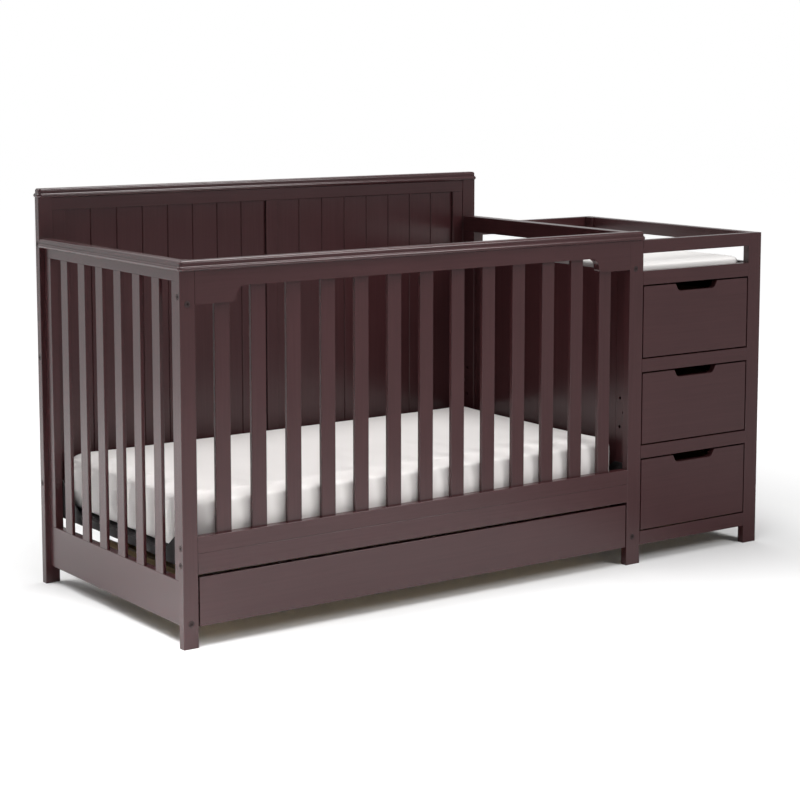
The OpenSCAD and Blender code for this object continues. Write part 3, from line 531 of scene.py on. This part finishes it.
def studio_floor(near, far, front_mirror):
    """Lit paper that glows from near to far; reflections see less of it in front and at the right."""
    bm = bmesh.new()
    bmesh.ops.create_grid(bm, x_segments=4, y_segments=4, size=FLOOR_HALF)
    floor = as_piece(bm, "studio_floor")
    material, wire = new_finish("studio_white")
    point = place(wire)
    reach = wire.add("ShaderNodeVectorMath", {"operation": "LENGTH"}, {0: point}, "Value")
    across = wire.add("ShaderNodeSeparateXYZ", None, {"Vector": point}, output="X")
    behind = wire.add("ShaderNodeSeparateXYZ", None, {"Vector": point}, output="Y")
    away = over_metres(wire, reach, 5, (1.1, 0.0), (2.5, 0.75), (5, 1.0))
    camera_ray = wire.add("ShaderNodeLightPath", output="Is Camera Ray")
    mirror_ray = wire.add("ShaderNodeLightPath", output="Is Glossy Ray")
    # Painted shade in reflections: glossy rays see less glow in front, and the paper painted darker at the
    # right.
    seen = camera_ray + mirror_ray * over_metres(wire, behind, 2, (-0.2, front_mirror), (0.8, 1.0))
    right = over_metres(wire, across, 2, (0.56, 0.0), (0.92, 1.0))
    paper = wire.add("ShaderNodeBsdfDiffuse", None, {"Color": PAPER - mirror_ray * right * 0.6})
    strength = seen * (near + away * (far - near))
    glow = wire.add("ShaderNodeEmission", None, {"Color": (1, 1, 1, 1), "Strength": strength})
    both = wire.add("ShaderNodeAddShader", None, {0: paper, 1: glow})
    wire.add("ShaderNodeOutputMaterial", None, {"Surface": both})
    dress(floor, material)
    return floor


floor = studio_floor(near=0.02, far=0.93, front_mirror=0.5)
print("floor of", 2 * FLOOR_HALF, "m as", floor.name)

# %% World
def studio_world(level, front_mirror, right_mirror):
    """White to the camera, white only at the back left in reflections, and of that level as light."""
    world = bpy.data.worlds.new("studio")
    world.use_nodes = True
    world.node_tree.nodes.clear()
    wire = Wire(world.node_tree)
    camera_ray = wire.add("ShaderNodeLightPath", output="Is Camera Ray")
    mirror_ray = wire.add("ShaderNodeLightPath", output="Is Glossy Ray")
    direction = wire.add("ShaderNodeTexCoord", output="Generated")
    across = wire.add("ShaderNodeSeparateXYZ", None, {"Vector": direction}, output="X")
    ahead = wire.add("ShaderNodeSeparateXYZ", None, {"Vector": direction}, output="Y")
    back_left = (ahead - across * 0.8) * 0.3 + 0.5
    mirror = ramp(wire, back_left, (0.15, front_mirror), (0.55, right_mirror), (0.85, 1.0))
    light = wire.maths("MAXIMUM", mirror_ray * mirror, (1 - mirror_ray) * level)
    light = wire.maths("MAXIMUM", light, camera_ray)
    sky = wire.add("ShaderNodeBackground", None, {"Color": (1, 1, 1, 1), "Strength": light})
    wire.add("ShaderNodeOutputWorld", None, {"Surface": sky})
    scene.world = world


studio_world(level=0.08, front_mirror=0.4, right_mirror=0.5)
print("world:", scene.world.name)

# %% Lamps
def softbox(name, at, towards, width, height, power, spread=180):
    """A rectangular lamp, with sizes in metres, power in watts and the light's spread in degrees."""
    lamp = bpy.data.lights.new(name, "AREA")
    lamp.shape = "RECTANGLE"
    lamp.size = width
    lamp.size_y = height
    lamp.energy = power
    lamp.spread = math.radians(spread)
    holder = bpy.data.objects.new(name, lamp)
    scene.collection.objects.link(holder)
    holder.location = at
    holder.rotation_euler = (Vector(towards) - Vector(at)).to_track_quat("-Z", "Y").to_euler()


softbox("overhead", at=(0.7, 0.3, 3.9), towards=(0.25, 0.1, 0),
        width=1.9, height=1.9, power=93)
softbox("front", at=(1.6, -2.95, 2.3), towards=(0.0, 0, 0.5),
        width=1.3, height=1.2, power=57)
softbox("floor_front", at=(-0.7, -1.2, 2.2), towards=(-0.3, -0.75, 0),
        width=1.2, height=1.2, power=8, spread=70)
softbox("floor_left", at=(-2.4, 1.8, 2.2), towards=(-1.9, 1.2, 0),
        width=2.4, height=2.4, power=27, spread=80)
softbox("floor_end", at=(-1.75, -0.5, 2.0), towards=(-1.75, -0.5, 0),
        width=0.8, height=0.8, power=16, spread=60)

# %% [markdown]
# ## Camera
# The photograph was taken from the front left at about chest height with the camera level, so upright edges
# stay almost parallel. Part of that levelling is a lens shift, and part here is a slight tilt, so that
# other views of the same scene aren't pushed off centre.

# %% The photograph's view
CAMERA_AT = Vector((-3.11806, -4.33310, 1.35559))
YAW, TILT = 0.617, 0.118  # radians
SENSOR, LENS = 36, 89.147  # millimetres
SHIFT = -0.125

camera_data = bpy.data.cameras.new("photo_view")
camera_data.sensor_width = SENSOR
camera_data.lens = LENS
camera_data.shift_y = SHIFT
camera = bpy.data.objects.new("photo_view", camera_data)
scene.collection.objects.link(camera)
ahead = Vector((math.cos(TILT) * math.sin(YAW), math.cos(TILT) * math.cos(YAW), -math.sin(TILT)))
camera.location = CAMERA_AT
camera.rotation_euler = ahead.to_track_quat("-Z", "Y").to_euler()
scene.camera = camera
scene.view_settings.view_transform = "Standard"
print("camera looks", [round(c, 3) for c in ahead])

# %% [markdown]
# ## Last step
# The last cell brings the scene up to date. The dressed object has to stay inside the solids' box.

# %% Bring the scene up to date
bpy.context.view_layer.update()
